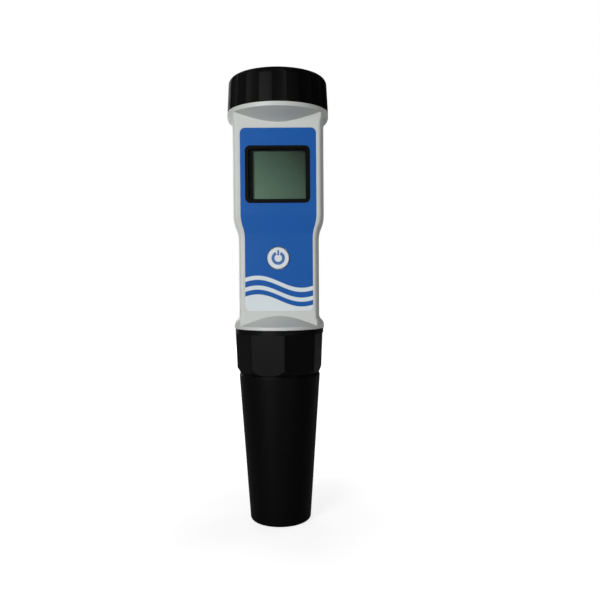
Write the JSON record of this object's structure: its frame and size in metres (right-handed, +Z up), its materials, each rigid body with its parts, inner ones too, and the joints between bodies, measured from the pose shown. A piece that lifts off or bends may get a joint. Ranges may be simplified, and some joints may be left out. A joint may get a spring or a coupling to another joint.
{
  "type": "salinity tester",
  "caption": "Pen-type salinity tester with a screwed battery cap, a flat labelled display face, a sprung power key, a ring nut that holds the probe, and a pull-off protective cap.",
  "frame": {"origin": "centre of the protective cap's flat foot, on the long axis", "axes": "+Z up along the long axis towards the battery cap, the display faces -Y, +X to the display's right"},
  "size_m": [0.04, 0.04, 0.1757],
  "materials": {
    "housing_plastic": "satin silver-grey paint on moulded plastic",
    "label": "printed polyester sheet, satin blue",
    "bezel_plastic": "moulded black plastic, smooth",
    "window": "clear acrylic",
    "display": "liquid crystal glass, grey-green",
    "white_plastic": "moulded white plastic",
    "key_plastic": "moulded white plastic with a printed blue mark",
    "rubber": "soft black rubber",
    "board": "green lacquered circuit board",
    "component": "moulded black component bodies",
    "steel": "nickel-plated steel",
    "chassis_plastic": "moulded dark grey plastic",
    "cell_jacket": "plain shrink jacket",
    "cap_plastic": "moulded black plastic, satin",
    "inner_plastic": "moulded black plastic",
    "contact_metal": "gold-plated brass",
    "nut_plastic": "moulded black plastic, satin",
    "probe_plastic": "moulded black plastic",
    "electrode_metal": "polished stainless steel",
    "cover_plastic": "moulded black plastic, satin"
  },
  "bodies": {
    "housing": {"housing": "housing_plastic", "front_label": "label", "display_bezel": "bezel_plastic", "display_window": "window", "display_glass": "display", "display_holder": "white_plastic", "contact_strips": "rubber", "display_reflector": "white_plastic", "circuit_board": "board", "board_components": "component", "board_screws": "steel", "key_seal": "rubber", "power_switch": "component", "chassis": "chassis_plastic", "battery_springs": "steel", "battery_cells": "cell_jacket", "cap_seal": "rubber", "probe_socket": "inner_plastic", "socket_terminals": "contact_metal"},
    "contact_plate": {"contact_plate": "inner_plastic", "bridge_contact": "steel"},
    "battery_cap": {"battery_cap": "cap_plastic", "cap_rivet": "steel"},
    "power_key": {"power_key": "key_plastic", "switch_plunger": "component"},
    "probe_module": {"probe_plug": "probe_plastic", "plug_seal": "rubber", "connector_pins": "contact_metal", "probe_body": "probe_plastic", "probe_seal": "rubber", "probe_shroud": "probe_plastic", "electrodes": "electrode_metal", "temperature_sensor": "electrode_metal"},
    "ring_nut": {"ring_nut": "nut_plastic"},
    "protective_cap": {"protective_cap": "cover_plastic"}
  },
  "joints": [
    {"name": "battery_cap_lift", "type": "slide", "parent": "housing", "child": "contact_plate", "axis": [0, 0, 1], "range_m": [0, 0.0075]},
    {"name": "battery_cap_turn", "type": "hinge", "parent": "contact_plate", "child": "battery_cap", "pos_m": [0, 0, 0.169], "axis": [0, 0, 1], "range_deg": [0, 900]},
    {"name": "power_key_press", "type": "slide", "parent": "housing", "child": "power_key", "axis": [0, 1, 0], "range_m": [0, 0.0004], "stiffness_N_per_m": 4000},
    {"name": "probe_pull", "type": "slide", "parent": "housing", "child": "probe_module", "axis": [0, 0, -1], "range_m": [0, 0.009]},
    {"name": "ring_nut_turn", "type": "hinge", "parent": "probe_module", "child": "ring_nut", "pos_m": [0, 0, 0.0682], "axis": [0, 0, -1], "range_deg": [0, 1080]},
    {"name": "protective_cap_pull", "type": "slide", "parent": "probe_module", "child": "protective_cap", "axis": [0, 0, -1], "range_m": [0, 0.05]}
  ],
  "couplings": [
    {"joint": "battery_cap_turn", "follows": "battery_cap_lift", "rad_per_m": 2094.4},
    {"joint": "ring_nut_turn", "follows": "probe_pull", "rad_per_m": 2094.4}
  ]
}
